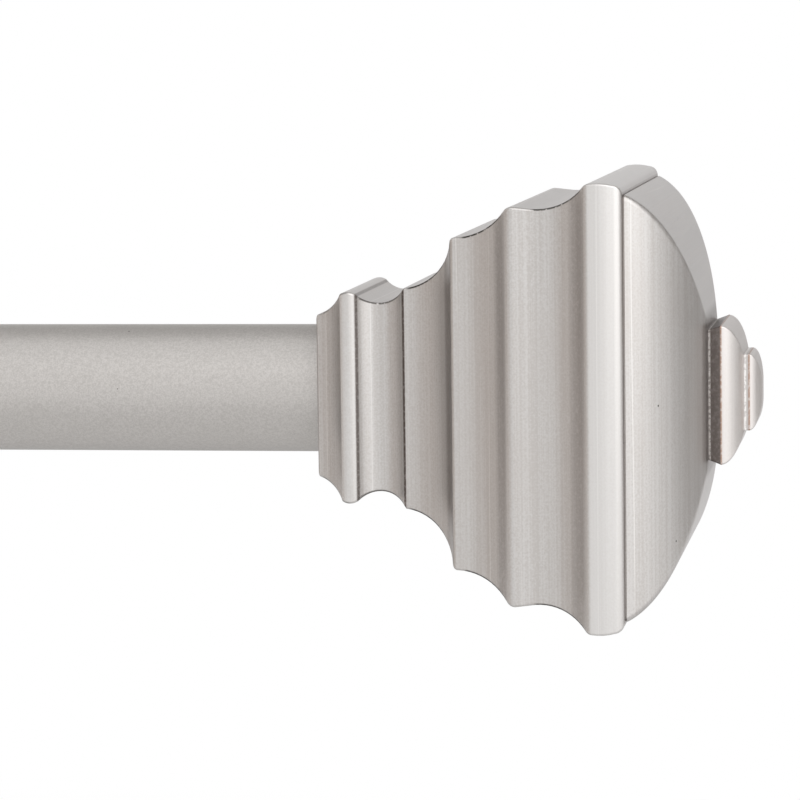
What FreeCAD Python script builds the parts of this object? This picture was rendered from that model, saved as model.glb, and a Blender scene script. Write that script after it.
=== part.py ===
import FreeCAD, Part
import math
import os

from FreeCAD import Vector

# Telescoping curtain rod with two wall brackets and two square finials.
#
# Frame, in millimetres: X runs along the rod to the right, +Y points into the wall, +Z is up.
# The wall is the plane Y = 0, and the origin is the centre of the four wall-screw holes.
# The rod is pushed together and lies in both cradles, and both arms are pushed in.

# Overall sizes
ROD_LENGTH = 711.0           # both tubes, pushed together, end to end
BRACKET_SPACING = 410.0      # between the two brackets' centres
PROJECTION = 90.0            # wall to rod axis, with the arms pushed in

# Rod tubes
ROD_DIAMETER = 25.4
ROD_WALL = 1.0
TUBE_GAP = 0.6               # between the two tubes, bridged by the nylon pieces
INNER_TUBE_WALL = 0.9
OUTER_TUBE_SETBACK = 51.0    # left end of the rod to the outer tube's mouth
INNER_TUBE_SETBACK = 71.0    # right end of the rod to the inner tube's hidden end
RUNNING_CLEARANCE = 0.05     # radial, where one piece slides or turns in another
SEATED_CLEARANCE = 0.05      # radial, where one piece is fixed in another
OPEN_CLEARANCE = 0.3         # between pieces that move apart and are no fit

# Nylon pieces of the rod
BUSH_LENGTH = 16.0
BUSH_FLANGE = 1.5
GUIDE_PLUG_LENGTH = 12.0
GUIDE_FLANGE = 4.0

# Finial casting's socket and walls
SOCKET_DEPTH = 20.0
SOCKET_FLOOR = 3.5
COLLAR_WALL = 2.7            # between the socket and the collar's flat side
CASTING_WALL = 3.8
CAVITY_START_RISE = 1.0      # over the collar's half width

# Finial casting's square moulding, member by member from the collar: each has a width along the rod,
# a rise of the section's half width, and a radius where it is round.
COLLAR_EDGE_WIDTH = 0.5
COLLAR_EDGE_RISE = 0.5
COLLAR_EDGE_RADIUS = 0.6
BEAD_COVE_WIDTH = 4.9
BEAD_COVE_RISE = 4.25
BEAD_COVE_RADIUS = 8.7
BEAD_EDGE_WIDTH = 0.8
BEAD_EDGE_RISE = 0.4
BEAD_EDGE_RADIUS = 0.9
BEAD_FLAT_WIDTH = 1.4
SCOTIA_WIDTH = 9.3
SCOTIA_RISE = 0.75
SCOTIA_RADIUS = 6.1
STEP_WIDTH = 0.4
STEP_RISE = 0.45
FIRST_COVE_WIDTH = 10.4
FIRST_COVE_RISE = 9.65
FIRST_COVE_RADIUS = 12.0
SECOND_EDGE_WIDTH = 0.4
SECOND_EDGE_RISE = 0.7
SECOND_COVE_WIDTH = 11.0
SECOND_COVE_RISE = 5.8
SECOND_COVE_RADIUS = 13.2
THIRD_EDGE_WIDTH = 0.5
THIRD_EDGE_RISE = 0.35
WAIST_WIDTH = 3.6
WAIST_FALL = 0.4
THIRD_COVE_WIDTH = 11.2
THIRD_COVE_RISE = 4.55
THIRD_COVE_RADIUS = 11.9
RIM_EDGE_WIDTH = 0.6
RIM_EDGE_RISE = 0.3
RIM_FLAT_WIDTH = 4.8
RIM_FLAT_FALL = 0.4
RIM_ROUND = 1.6

# Finial dome and tip
DOME_SETBACK = 2.5           # the dome's foot lies this far inside the rim
DOME_FULLNESS = 1.25         # half width that the dome's oval would still gain below its foot
DOME_RISE = 19.1             # half the height of the dome's oval
SEAM_BEVEL = 0.4
SKIRT_LENGTH = 6.0
SKIRT_INSET = 1.6            # from the dome's foot to the skirt
SKIRT_WALL = 2.0
SKIRT_CLEARANCE = 0.15
DOME_WALL = 3.0
TIE_BOSS_RADIUS = 6.0
TIE_BOSS_LENGTH = 16.0
TIP_HALF = 12.65
TIP_FLARE = 0.8
TIP_SIDE = 2.4
TIP_RISE = 5.0
BUTTON_HALF = 7.45
BUTTON_SIDE = 0.95
BUTTON_RISE = 2.4
BUTTON_TOP_HALF = 2.5
TIP_PEG_RADIUS = 4.0
TIP_PEG_LENGTH = 6.0
BUTTON_PEG_RADIUS = 2.5
BUTTON_PEG_LENGTH = 4.0

# Screws, drawn at their thread's outer radius
TIE_SCREW_RADIUS = 2.5
TIE_HEAD_RADIUS = 4.5
TIE_HEAD_HEIGHT = 3.0
TIE_ENGAGEMENT = 9.0
SET_SCREW_RADIUS = 2.0
SET_SCREW_RECESS = 0.6       # below the scotia's surface
TIE_KEY = (2.3, 2.0)         # hexagon key: corner radius, depth
SET_KEY = (1.15, 2.0)
GRUB_KEY = (0.87, 1.2)

# Wall bracket
HOLE_SPACING = 38.0
HOLE_RADIUS = 2.5
PLATE_WIDTH = 40.0
PLATE_MARGIN = 7.0           # from a screw hole's centre to the plate's end
PLATE_THICKNESS = 2.5
PLATE_CORNER = 3.0
STUD_LENGTH = 12.0
COVER_MARGIN = 6.0           # from the plate's end to the cover's outside
COVER_WALL = 2.2
COVER_RIM_DEPTH = 4.0
COVER_COVE_DEPTH = 10.0
COVER_COVE_FALL = 10.0
COVER_COVE_RADIUS = 12.0
COVER_STEP = 1.0
SHOULDER_DEPTH = 1.5
SHOULDER_FALL = 0.5
NECK_COVE_DEPTH = 6.5
NECK_COVE_RADIUS = 10.0
NECK_DEPTH = 4.0
NECK_WALL = 3.0
STEM_WALL = 2.0
STEM_COLLAR_LENGTH = 14.0
STEM_COLLAR_RISE = 1.6
ARM_DIAMETER = 12.0
ARM_SHOWING = 3.5            # between the stem and the cradle's socket, pushed in
ARM_TAIL_GAP = 2.5           # between the stud and the arm's hidden end, pushed in
LOCK_SHANK_SHOWING = 2.0     # between a boss and its screw's head
LOCK_SCREW_RADIUS = 2.0
LOCK_BOSS_RADIUS = 4.5
LOCK_BOSS_HEIGHT = 3.0
GRUB_RADIUS = 1.5

# Cradle
CRADLE_WIDTH = 16.0
CRADLE_WALL = 3.0
CRADLE_LIP = 9.0             # height of the lips above the rod's axis
CRADLE_SOCKET_DEPTH = 8.0
CRADLE_SOCKET_WALL = 2.5
CRADLE_BOSS_RADIUS = 5.0
CRADLE_BOSS_HEIGHT = 5.0

# Knurled screw heads
HEAD_RADIUS = 5.6
HEAD_HEIGHT = 7.0
HEAD_NECK_RADIUS = 3.2
HEAD_NECK = 2.0
HEAD_FLUTES = 16
FLUTE_RADIUS = 0.55
HEAD_CHAMFER = 0.6

# Sizes that follow from the ones above
ROD_RADIUS = ROD_DIAMETER / 2
ROD_BORE = ROD_RADIUS - ROD_WALL
INNER_RADIUS = ROD_BORE - TUBE_GAP
INNER_BORE = INNER_RADIUS - INNER_TUBE_WALL
ROD_END = ROD_LENGTH / 2
COLLAR_FACE = ROD_END - SOCKET_DEPTH
SOCKET_BOTTOM = SOCKET_DEPTH + OPEN_CLEARANCE
SOCKET_RADIUS = ROD_RADIUS + RUNNING_CLEARANCE
COLLAR_HALF = SOCKET_RADIUS + COLLAR_WALL
ARM_RADIUS = ARM_DIAMETER / 2
STEM_BORE = ARM_RADIUS + RUNNING_CLEARANCE
STEM_RADIUS = STEM_BORE + STEM_WALL
COVER_HALF = HOLE_SPACING / 2 + PLATE_MARGIN + COVER_MARGIN
CRADLE_BORE = ROD_RADIUS + OPEN_CLEARANCE
CRADLE_OUTSIDE = CRADLE_BORE + CRADLE_WALL
CRADLE_BACK = PROJECTION - CRADLE_OUTSIDE
CRADLE_SOCKET_MOUTH = CRADLE_BACK - CRADLE_SOCKET_DEPTH
STEM_END = CRADLE_SOCKET_MOUTH - ARM_SHOWING
LOCK_OUT = STEM_END - STEM_COLLAR_LENGTH / 2
ARM_TAIL = PLATE_THICKNESS + STUD_LENGTH + ARM_TAIL_GAP
LOCK_BOSS_BOTTOM = -(STEM_RADIUS + STEM_COLLAR_RISE + LOCK_BOSS_HEIGHT)
COVER_BORE = STEM_RADIUS + SEATED_CLEARANCE
NECK_HALF = COVER_BORE + NECK_WALL
COVER_COVE_END = COVER_RIM_DEPTH + COVER_COVE_DEPTH
NECK_START = COVER_COVE_END + SHOULDER_DEPTH + NECK_COVE_DEPTH
COVER_END = NECK_START + NECK_DEPTH
COVER_GRUB_OUT = (NECK_START + COVER_END) / 2

ALONG_X = Vector(1, 0, 0)
ALONG_Y = Vector(0, 1, 0)
UP = Vector(0, 0, 1)
ORIGIN = Vector(0, 0, 0)
CUT_MARGIN = 1.0             # how far a cutting solid runs past the face it opens


# ---- Shapes that several pieces share ----

def bar(radius, start, end):
    """Round bar along X between two distances."""
    return Part.makeCylinder(radius, end - start, Vector(start, 0, 0), ALONG_X)


def tube(radius, bore, start, end):
    """Round tube along X between two distances."""
    hole = bar(bore, start - CUT_MARGIN, end + CUT_MARGIN)
    return bar(radius, start, end).cut(hole)


def post(radius, bottom, top, along=0.0):
    """Upright round bar between two heights, at a distance along X."""
    return Part.makeCylinder(radius, top - bottom, Vector(along, 0, bottom), UP)


def block(x_range, y_range, z_range):
    """Box between two distances on each axis."""
    corner = Vector(x_range[0], y_range[0], z_range[0])
    sizes = [high - low for low, high in (x_range, y_range, z_range)]
    return Part.makeBox(*sizes, corner)


def moved(shape, along=0.0, out=0.0, height=0.0):
    """Copy of a shape, moved along the rod, out from the wall and up."""
    return shape.translated(Vector(along, -out, height))


def arc_middle(start, end, radius):
    """Middle of an outline's arc. A positive radius is hollow, and a negative one bulges."""
    chord = math.hypot(end[0] - start[0], end[1] - start[1])
    depth = abs(radius) - math.sqrt(radius ** 2 - (chord / 2) ** 2)
    inward = math.copysign(depth / chord, radius)
    along = (start[0] + end[0]) / 2 + inward * (end[1] - start[1])
    half = (start[1] + end[1]) / 2 - inward * (end[0] - start[0])
    return along, half


def oval_reach(half, centre, rise, oval_half):
    """Distance along the axis where an oval about it has a given half width."""
    return centre + rise * math.sqrt(1 - (half / oval_half) ** 2)


def outline_edges(start, steps, side):
    """Edges of an outline in the XZ plane, above the axis for side 1 and below it for side -1.

    A step is ("line", end), ("arc", end, radius) or ("oval", end, centre, rise, oval_half),
    and each point is (distance along the axis, half width).
    """
    def place(point):
        return Vector(point[0], 0, side * point[1])

    edges = []
    here = start
    for kind, end, *sizes in steps:
        if kind == "line":
            curve = Part.LineSegment(place(here), place(end))
        elif kind == "arc":
            curve = Part.Arc(place(here), place(arc_middle(here, end, sizes[0])), place(end))
        else:
            centre, rise, oval_half = sizes
            widest = place((centre, oval_half))
            oval = Part.Ellipse(widest, place((centre + rise, 0)), place((centre, 0)))
            curve = Part.ArcOfEllipse(oval, oval.parameter(place(here)), oval.parameter(place(end)))
        edges.append(curve.toShape())
        here = end
    return edges


def square_solid(start, steps):
    """Solid along X with a square section, whose half width follows an outline."""
    end = steps[-1][1]
    edges = outline_edges(start, steps, 1) + outline_edges(start, steps, -1)
    for along, half in (start, end):
        edges.append(Part.LineSegment(Vector(along, 0, half), Vector(along, 0, -half)).toShape())
    face = Part.Face(Part.Wire(Part.__sortEdges__(edges)))
    reach = face.BoundBox.ZMax + CUT_MARGIN
    across = face.translated(Vector(0, -reach, 0)).extrude(Vector(0, 2 * reach, 0))
    upright = across.rotated(ORIGIN, ALONG_X, 90)
    return across.common(upright)


def hex_recess(key, bottom=0.0, along=0.0):
    """Hexagon-key recess that opens downwards at a height."""
    radius, depth = key
    corners = []
    for degrees in range(0, 361, 60):
        turn = math.radians(degrees)
        corners.append(Vector(along + radius * math.cos(turn), radius * math.sin(turn), bottom))
    return Part.Face(Part.makePolygon(corners)).extrude(UP * depth)


def grub_screw(radius, key, bottom, top, along):
    """Headless screw, driven from below."""
    screw = post(radius, bottom, top, along)
    return screw.cut(hex_recess(key, bottom, along))


def thumb_screw(shank_length):
    """Knurled screw that points up, with its tip at the origin."""
    shank = post(LOCK_SCREW_RADIUS, -shank_length, 0)
    neck_bottom = -shank_length - HEAD_NECK
    neck = post(HEAD_NECK_RADIUS, neck_bottom, -shank_length)
    head = post(HEAD_RADIUS, neck_bottom - HEAD_HEIGHT, neck_bottom)
    rims = [edge for edge in head.Edges if isinstance(edge.Curve, Part.Circle)]
    head = head.makeChamfer(HEAD_CHAMFER, rims)
    for number in range(HEAD_FLUTES):
        turn = 2 * math.pi * number / HEAD_FLUTES
        flute = post(FLUTE_RADIUS, neck_bottom - HEAD_HEIGHT - CUT_MARGIN, neck_bottom + CUT_MARGIN)
        flute.translate(Vector(HEAD_RADIUS * math.cos(turn), HEAD_RADIUS * math.sin(turn), 0))
        head = head.cut(flute)
    return shank.fuse([neck, head]).removeSplitter()


# ---- Rod: two tubes and their nylon pieces, along X about the rod's axis ----

def outer_tube():
    return tube(ROD_RADIUS, ROD_BORE, OUTER_TUBE_SETBACK - ROD_END, ROD_END)


def inner_tube():
    return tube(INNER_RADIUS, INNER_BORE, -ROD_END, ROD_END - INNER_TUBE_SETBACK)


def mouth_bush():
    """Sleeve in the outer tube's mouth, with a flange that covers the tube's cut edge."""
    mouth = OUTER_TUBE_SETBACK - ROD_END
    bore = INNER_RADIUS + RUNNING_CLEARANCE
    flange = tube(ROD_RADIUS, bore, mouth - BUSH_FLANGE, mouth)
    sleeve = tube(ROD_BORE - SEATED_CLEARANCE, bore, mouth, mouth + BUSH_LENGTH)
    return flange.fuse(sleeve).removeSplitter()


def inner_tail_guide():
    """Plug in the inner tube's hidden end, whose flange runs in the outer tube."""
    tail = ROD_END - INNER_TUBE_SETBACK
    plug = bar(INNER_BORE - SEATED_CLEARANCE, tail - GUIDE_PLUG_LENGTH, tail)
    flange = bar(ROD_BORE - RUNNING_CLEARANCE, tail, tail + GUIDE_FLANGE)
    return plug.fuse(flange).removeSplitter()


def inner_end_adapter():
    """Sleeve that brings the inner tube up to the left finial's socket."""
    return tube(ROD_RADIUS, INNER_RADIUS + SEATED_CLEARANCE, -ROD_END, -COLLAR_FACE)


# ---- Finial: along +X from the collar's face, about the rod's axis ----

MOULDING = [
    ("collar edge", COLLAR_EDGE_WIDTH, COLLAR_EDGE_RISE, -COLLAR_EDGE_RADIUS),
    ("bead cove", BEAD_COVE_WIDTH, BEAD_COVE_RISE, BEAD_COVE_RADIUS),
    ("bead edge", BEAD_EDGE_WIDTH, BEAD_EDGE_RISE, -BEAD_EDGE_RADIUS),
    ("bead flat", BEAD_FLAT_WIDTH, 0, 0),
    ("bead end", BEAD_EDGE_WIDTH, -BEAD_EDGE_RISE, -BEAD_EDGE_RADIUS),
    ("scotia", SCOTIA_WIDTH, SCOTIA_RISE, SCOTIA_RADIUS),
    ("step", STEP_WIDTH, STEP_RISE, 0),
    ("first cove", FIRST_COVE_WIDTH, FIRST_COVE_RISE, FIRST_COVE_RADIUS),
    ("second edge", SECOND_EDGE_WIDTH, SECOND_EDGE_RISE, 0),
    ("second cove", SECOND_COVE_WIDTH, SECOND_COVE_RISE, SECOND_COVE_RADIUS),
    ("third edge", THIRD_EDGE_WIDTH, THIRD_EDGE_RISE, 0),
    ("waist", WAIST_WIDTH, -WAIST_FALL, 0),
    ("third cove", THIRD_COVE_WIDTH, THIRD_COVE_RISE, THIRD_COVE_RADIUS),
    ("rim", RIM_EDGE_WIDTH, RIM_EDGE_RISE, 0),
    ("rim flat", RIM_FLAT_WIDTH, -RIM_FLAT_FALL, 0),
    ("seam", RIM_ROUND, -RIM_ROUND, -RIM_ROUND),
]


def moulding_ends():
    """Where each member ends: its name to (distance from the collar's face, half width)."""
    ends = {}
    along = 0
    half = COLLAR_HALF
    for name, width, rise, radius in MOULDING:
        along += width
        half += rise
        ends[name] = along, half
    return ends


def moulding_steps():
    """Outline steps of the moulding, from the collar's face to the seam."""
    ends = moulding_ends()
    steps = []
    for name, width, rise, radius in MOULDING:
        if radius:
            steps.append(("arc", ends[name], radius))
        else:
            steps.append(("line", ends[name]))
    return steps


ENDS = moulding_ends()
SEAM = ENDS["seam"][0]       # where the dome meets the casting
RIM_HALF = ENDS["rim"][1]
DOME_FOOT_HALF = RIM_HALF - DOME_SETBACK
DOME_OVAL_HALF = DOME_FOOT_HALF + DOME_FULLNESS
SKIRT_HALF = DOME_FOOT_HALF - SKIRT_INSET
CAVITY_HALF = SKIRT_HALF + SKIRT_CLEARANCE
CAVITY_START = SOCKET_BOTTOM + SOCKET_FLOOR
SET_SCREW_ALONG = ENDS["scotia"][0] - SCOTIA_WIDTH / 2
SCOTIA_HALF = arc_middle(ENDS["bead end"], ENDS["scotia"], SCOTIA_RADIUS)[1]
DOME_CENTRE = SEAM + SEAM_BEVEL - oval_reach(DOME_FOOT_HALF, 0, DOME_RISE, DOME_OVAL_HALF)
TIP_SEAT = oval_reach(TIP_HALF, DOME_CENTRE, DOME_RISE, DOME_OVAL_HALF)
TIP_EDGE = TIP_SEAT + TIP_SIDE
TIP_OVAL_HALF = TIP_HALF + TIP_FLARE
BUTTON_SEAT = oval_reach(BUTTON_HALF, TIP_EDGE, TIP_RISE, TIP_OVAL_HALF)
BUTTON_EDGE = BUTTON_SEAT + BUTTON_SIDE
BUTTON_TOP = oval_reach(BUTTON_TOP_HALF, BUTTON_EDGE, BUTTON_RISE, BUTTON_HALF)
TIE_BOSS_TOP = TIP_SEAT - DOME_WALL / 2
TIE_BOSS_START = TIE_BOSS_TOP - TIE_BOSS_LENGTH
TIE_TIP = TIE_BOSS_START + TIE_ENGAGEMENT


def casting_cavity():
    """Stepped hollow behind the socket's floor, open to the dome."""
    edge_along, edge_half = ENDS["second edge"]
    waist_along, waist_half = ENDS["waist"]
    waist_inside = waist_half - CASTING_WALL
    steps = [
        ("line", (edge_along + CASTING_WALL / 2, edge_half - CASTING_WALL)),
        ("line", (waist_along - CASTING_WALL / 2, waist_inside)),
        ("line", (waist_along + CASTING_WALL, waist_inside)),
        ("line", (SEAM - SKIRT_LENGTH - SEAM_BEVEL, CAVITY_HALF)),
        ("line", (SEAM + CUT_MARGIN, CAVITY_HALF)),
    ]
    return square_solid((CAVITY_START, COLLAR_HALF + CAVITY_START_RISE), steps)


def finial_body():
    """Casting with the rod's socket, the tie-screw hole in its floor and the set-screw hole below."""
    casting = square_solid((0, COLLAR_HALF), moulding_steps())
    socket = bar(SOCKET_RADIUS, -CUT_MARGIN, SOCKET_BOTTOM)
    tie_hole = bar(TIE_SCREW_RADIUS + SEATED_CLEARANCE, 0, CAVITY_START + CUT_MARGIN)
    set_hole = post(SET_SCREW_RADIUS + SEATED_CLEARANCE, -RIM_HALF, 0, SET_SCREW_ALONG)
    return casting.cut([casting_cavity(), socket, tie_hole, set_hole])


def finial_dome():
    """Four-sided vault, its skirt inside the casting, and the boss for the tie screw and the tip."""
    oval = (DOME_CENTRE, DOME_RISE, DOME_OVAL_HALF)
    shell = square_solid(
        (SEAM, DOME_FOOT_HALF - SEAM_BEVEL),
        [("line", (SEAM + SEAM_BEVEL, DOME_FOOT_HALF)), ("oval", (TIP_SEAT, TIP_HALF), *oval)])
    skirt_start = SEAM - SKIRT_LENGTH
    skirt = block((skirt_start, SEAM), (-SKIRT_HALF, SKIRT_HALF), (-SKIRT_HALF, SKIRT_HALF))
    inside = SKIRT_HALF - SKIRT_WALL
    inner_oval = (DOME_CENTRE, DOME_RISE - DOME_WALL, DOME_OVAL_HALF - DOME_WALL)
    hollow = square_solid(
        (skirt_start - CUT_MARGIN, inside),
        [("line", (oval_reach(inside, *inner_oval), inside)),
         ("oval", (oval_reach(TIE_BOSS_RADIUS, *inner_oval), TIE_BOSS_RADIUS), *inner_oval)])
    boss = bar(TIE_BOSS_RADIUS, TIE_BOSS_START, TIE_BOSS_TOP)
    tie_hole = bar(TIE_SCREW_RADIUS + SEATED_CLEARANCE, TIE_BOSS_START - CUT_MARGIN, TIE_TIP)
    peg_hole = bar(TIP_PEG_RADIUS + SEATED_CLEARANCE, TIP_SEAT - TIP_PEG_LENGTH, TIP_SEAT + CUT_MARGIN)
    return shell.fuse(skirt).cut(hollow).fuse(boss).cut([tie_hole, peg_hole]).removeSplitter()


def tip_lower():
    """Square button on the dome, with a peg into the dome's boss."""
    button = square_solid(
        (TIP_SEAT, TIP_HALF),
        [("line", (TIP_EDGE, TIP_OVAL_HALF)),
         ("oval", (BUTTON_SEAT, BUTTON_HALF), TIP_EDGE, TIP_RISE, TIP_OVAL_HALF)])
    peg = bar(TIP_PEG_RADIUS, TIP_SEAT - TIP_PEG_LENGTH, TIP_SEAT)
    hole = bar(BUTTON_PEG_RADIUS + SEATED_CLEARANCE, BUTTON_SEAT - BUTTON_PEG_LENGTH, BUTTON_TOP)
    return button.fuse(peg).cut(hole)


def tip_upper():
    """Smaller square button, with a peg into the lower one."""
    button = square_solid(
        (BUTTON_SEAT, BUTTON_HALF),
        [("line", (BUTTON_EDGE, BUTTON_HALF)),
         ("oval", (BUTTON_TOP, BUTTON_TOP_HALF), BUTTON_EDGE, BUTTON_RISE, BUTTON_HALF)])
    peg = bar(BUTTON_PEG_RADIUS, BUTTON_SEAT - BUTTON_PEG_LENGTH, BUTTON_SEAT)
    return button.fuse(peg)


def tie_screw():
    """Screw from the socket's floor into the dome's boss. Its head lies inside the rod's bore."""
    head = bar(TIE_HEAD_RADIUS, SOCKET_BOTTOM - TIE_HEAD_HEIGHT, SOCKET_BOTTOM)
    shank = bar(TIE_SCREW_RADIUS, SOCKET_BOTTOM, TIE_TIP)
    recess = hex_recess(TIE_KEY).rotated(ORIGIN, ALONG_Y, 90)
    recess = recess.translated(Vector(SOCKET_BOTTOM - TIE_HEAD_HEIGHT, 0, 0))
    return head.fuse(shank).cut(recess).removeSplitter()


def finial_set_screw():
    """Headless screw in the scotia's underside, against the rod."""
    top = -(ROD_RADIUS + OPEN_CLEARANCE)
    return grub_screw(SET_SCREW_RADIUS, SET_KEY, SET_SCREW_RECESS - SCOTIA_HALF, top, SET_SCREW_ALONG)


# ---- Bracket: along +X out from the wall, with the arm's axis on X ----

def mounting_plate():
    """Steel plate with two screw holes and the stud that carries the stem."""
    half_width = PLATE_WIDTH / 2
    half_height = HOLE_SPACING / 2 + PLATE_MARGIN
    plate = block((0, PLATE_THICKNESS), (-half_width, half_width), (-half_height, half_height))
    corners = [edge for edge in plate.Edges if edge.BoundBox.XLength > PLATE_THICKNESS / 2]
    plate = plate.makeFillet(PLATE_CORNER, corners)
    stud = bar(STEM_BORE - SEATED_CLEARANCE, PLATE_THICKNESS, PLATE_THICKNESS + STUD_LENGTH)
    hole = bar(HOLE_RADIUS, -CUT_MARGIN, PLATE_THICKNESS + CUT_MARGIN)
    holes = [moved(hole, height=side * HOLE_SPACING / 2) for side in (-1, 1)]
    return plate.fuse(stud).cut(holes).removeSplitter()


def base_cover():
    """Square rosette, hollow behind, with a neck that fits the stem."""
    ledge = COVER_HALF - COVER_COVE_FALL - COVER_STEP
    outside = square_solid((0, COVER_HALF), [
        ("line", (COVER_RIM_DEPTH, COVER_HALF)),
        ("arc", (COVER_COVE_END, ledge + COVER_STEP), COVER_COVE_RADIUS),
        ("line", (COVER_COVE_END, ledge)),
        ("line", (COVER_COVE_END + SHOULDER_DEPTH, ledge - SHOULDER_FALL)),
        ("arc", (NECK_START, NECK_HALF), NECK_COVE_RADIUS),
        ("line", (COVER_END, NECK_HALF)),
    ])
    inside = COVER_HALF - COVER_WALL
    hollow = square_solid((-CUT_MARGIN, inside), [
        ("line", (COVER_RIM_DEPTH - COVER_WALL / 2, inside)),
        ("line", (COVER_COVE_END - COVER_WALL, ledge - COVER_WALL)),
        ("line", (NECK_START - 2 * COVER_WALL, STEM_RADIUS)),
    ])
    hole = bar(COVER_BORE, 0, COVER_END + CUT_MARGIN)
    grub_hole = post(GRUB_RADIUS + SEATED_CLEARANCE, -COVER_HALF, 0, COVER_GRUB_OUT)
    return outside.cut([hollow, hole, grub_hole])


def cover_lock_screw():
    """Headless screw in the cover's neck, against the stem."""
    return grub_screw(GRUB_RADIUS, GRUB_KEY, SEATED_CLEARANCE - NECK_HALF, -COVER_BORE, COVER_GRUB_OUT)


def stem():
    """Tube on the plate's stud, with a collar and a boss below for the arm's lock screw."""
    pipe = bar(STEM_RADIUS, PLATE_THICKNESS, STEM_END)
    collar = bar(STEM_RADIUS + STEM_COLLAR_RISE, STEM_END - STEM_COLLAR_LENGTH, STEM_END)
    boss = post(LOCK_BOSS_RADIUS, LOCK_BOSS_BOTTOM, -ARM_RADIUS, LOCK_OUT)
    bore = bar(STEM_BORE, 0, STEM_END + CUT_MARGIN)
    lock_hole = post(LOCK_SCREW_RADIUS + RUNNING_CLEARANCE, LOCK_BOSS_BOTTOM - CUT_MARGIN, 0, LOCK_OUT)
    return pipe.fuse([collar, boss]).cut([bore, lock_hole]).removeSplitter()


def arm():
    return bar(ARM_RADIUS, ARM_TAIL, CRADLE_BACK)


def arm_lock_screw():
    """Knurled screw under the stem, against the arm."""
    tip = -(ARM_RADIUS + OPEN_CLEARANCE)
    screw = thumb_screw(tip - LOCK_BOSS_BOTTOM + LOCK_SHANK_SHOWING)
    return screw.translated(Vector(LOCK_OUT, 0, tip))


def cradle():
    """Open cup that the rod lies in, with a socket behind for the arm and a boss below for its screw."""
    wide = (-CRADLE_WIDTH / 2, CRADLE_WIDTH / 2)
    deep = (CRADLE_BACK, PROJECTION + CRADLE_OUTSIDE)
    gap = (PROJECTION - CRADLE_BORE, PROJECTION + CRADLE_BORE)
    cup = Part.makeCylinder(CRADLE_OUTSIDE, CRADLE_WIDTH, Vector(PROJECTION, wide[0], 0), ALONG_Y)
    lips = block(deep, wide, (0, CRADLE_LIP))
    above = block(deep, wide, (CRADLE_LIP, CRADLE_OUTSIDE + CUT_MARGIN))
    cup = cup.fuse(lips).cut(above).removeSplitter()
    boss = post(CRADLE_BOSS_RADIUS, -CRADLE_OUTSIDE - CRADLE_BOSS_HEIGHT, -CRADLE_BORE, PROJECTION)
    arm_boss_radius = ARM_RADIUS + SEATED_CLEARANCE + CRADLE_SOCKET_WALL
    arm_boss = bar(arm_boss_radius, CRADLE_SOCKET_MOUTH, PROJECTION)
    cut_half = max(CRADLE_WIDTH / 2, arm_boss_radius) + CUT_MARGIN
    bore = Part.makeCylinder(CRADLE_BORE, 2 * cut_half, Vector(PROJECTION, -cut_half, 0), ALONG_Y)
    opening = block(gap, (-cut_half, cut_half), (0, CRADLE_OUTSIDE))
    arm_hole = bar(ARM_RADIUS + SEATED_CLEARANCE, CRADLE_SOCKET_MOUTH - CUT_MARGIN, CRADLE_BACK)
    screw_hole = post(LOCK_SCREW_RADIUS + RUNNING_CLEARANCE, -PROJECTION, 0, PROJECTION)
    return cup.fuse([boss, arm_boss]).cut([bore, opening, arm_hole, screw_hole]).removeSplitter()


def cradle_screw():
    """Knurled screw under the cradle, against the rod."""
    tip = -CRADLE_BORE
    screw = thumb_screw(CRADLE_WALL + CRADLE_BOSS_HEIGHT + LOCK_SHANK_SHOWING)
    return screw.translated(Vector(PROJECTION, 0, tip))


# ---- Places in the object's frame ----

def on_rod(shape):
    """From the rod's own axis to its place out from the wall."""
    return moved(shape, out=PROJECTION)


def finial_end(shape, side):
    """From the collar's face to the rod's right end (side 1), or mirrored to its left end (side -1)."""
    right = moved(shape, along=COLLAR_FACE, out=PROJECTION)
    if side > 0:
        return right
    return right.mirror(ORIGIN, ALONG_X)


def on_bracket(shape, side):
    """From out along X to out along -Y, at the right bracket (side 1) or the left one (side -1)."""
    outward = shape.rotated(ORIGIN, UP, -90)
    return moved(outward, along=side * BRACKET_SPACING / 2)


ROD_PIECES = {
    "outer_tube": outer_tube,
    "inner_tube": inner_tube,
    "mouth_bush": mouth_bush,
    "inner_tail_guide": inner_tail_guide,
    "inner_end_adapter": inner_end_adapter,
}
FINIAL_PIECES = {
    "finial_body": finial_body,
    "finial_dome": finial_dome,
    "finial_tip_lower": tip_lower,
    "finial_tip_upper": tip_upper,
    "finial_tie_screw": tie_screw,
    "finial_set_screw": finial_set_screw,
}
BRACKET_PIECES = {
    "mounting_plate": mounting_plate,
    "base_cover": base_cover,
    "cover_lock_screw": cover_lock_screw,
    "stem": stem,
    "arm": arm,
    "arm_lock_screw": arm_lock_screw,
    "cradle": cradle,
    "cradle_screw": cradle_screw,
}
SIDES = {"left": -1, "right": 1}


def write_piece(name, shape):
    """One STEP file for one solid."""
    if len(shape.Solids) != 1 or not shape.isValid():
        raise ValueError(name + " is not one valid solid")
    shape.Solids[0].exportStep("parts/" + name + ".step")


os.makedirs("parts", exist_ok=True)
for name, make in ROD_PIECES.items():
    write_piece(name, on_rod(make()))
for name, make in FINIAL_PIECES.items():
    for end, side in SIDES.items():
        write_piece(end + "_" + name, finial_end(make(), side))
for name, make in BRACKET_PIECES.items():
    for end, side in SIDES.items():
        write_piece(end + "_" + name, on_bracket(make(), side))
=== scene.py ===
import math

import bmesh
import bpy
from mathutils import Matrix, Vector


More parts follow.
